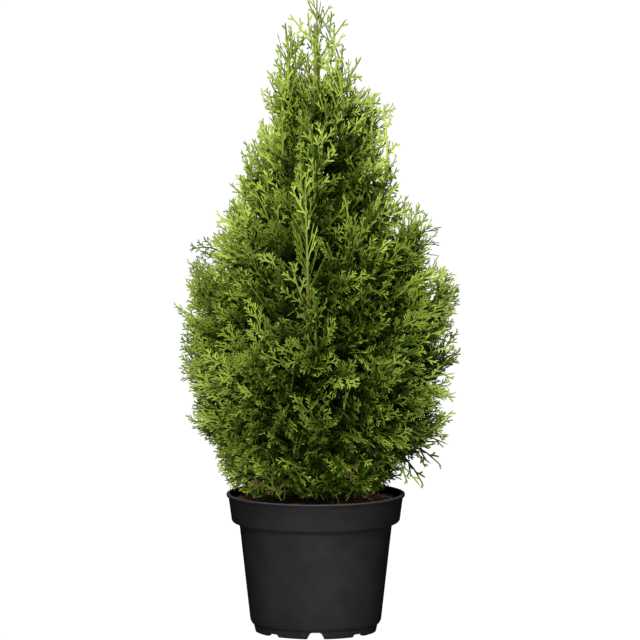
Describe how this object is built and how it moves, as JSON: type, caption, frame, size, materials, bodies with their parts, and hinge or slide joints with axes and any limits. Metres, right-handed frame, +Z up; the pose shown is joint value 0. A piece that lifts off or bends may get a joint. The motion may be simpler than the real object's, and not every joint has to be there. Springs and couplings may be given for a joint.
{
  "type": "potted thuja",
  "caption": "Young cone-shaped thuja conifer in a round black nursery pot, with upright flat sprays of scaly evergreen foliage from the compost to the tip.",
  "frame": {"origin": "on the ground, under the middle of the pot", "axes": "+Z up along the trunk, -Y towards the front, +X to the right seen from the front"},
  "size_m": [0.3612, 0.3455, 0.802],
  "materials": {
    "pot": "moulded black polypropylene, matte with a faint sheen",
    "compost": "moist dark red-brown peat with bark chips",
    "bark": "thin fibrous red-brown bark",
    "foliage": "yellow-green overlapping scale leaves with a waxy satin sheen"
  },
  "bodies": {
    "root": {"pot": "pot", "compost": "compost", "trunk": "bark", "foliage_1_1": "foliage", "foliage_1_2": "foliage", "foliage_1_3": "foliage", "foliage_1_4": "foliage", "foliage_1_5": "foliage", "foliage_2_1": "foliage", "foliage_2_2": "foliage", "foliage_2_3": "foliage", "foliage_2_4": "foliage", "foliage_2_5": "foliage", "bough_3_1": "bark", "foliage_3_1": "foliage", "bough_3_2": "bark", "foliage_3_2": "foliage", "bough_3_3": "bark", "foliage_3_3": "foliage", "bough_3_4": "bark", "foliage_3_4": "foliage", "bough_3_5": "bark", "foliage_3_5": "foliage", "bough_3_6": "bark", "foliage_3_6": "foliage", "bough_4_1": "bark", "foliage_4_1": "foliage", "bough_4_2": "bark", "foliage_4_2": "foliage", "bough_4_3": "bark", "foliage_4_3": "foliage", "bough_4_4": "bark", "foliage_4_4": "foliage", "bough_4_5": "bark", "foliage_4_5": "foliage", "bough_5_1": "bark", "foliage_5_1": "foliage", "bough_5_2": "bark", "foliage_5_2": "foliage", "bough_5_3": "bark", "foliage_5_3": "foliage", "bough_5_4": "bark", "foliage_5_4": "foliage", "bough_5_5": "bark", "foliage_5_5": "foliage", "foliage_6_1": "foliage", "foliage_6_2": "foliage", "foliage_6_3": "foliage", "foliage_6_4": "foliage", "foliage_6_5": "foliage", "foliage_7_1": "foliage", "foliage_7_2": "foliage", "foliage_7_3": "foliage", "foliage_7_4": "foliage", "foliage_8_1": "foliage", "foliage_8_2": "foliage", "foliage_8_3": "foliage", "foliage_8_4": "foliage"}
  },
  "joints": []
}
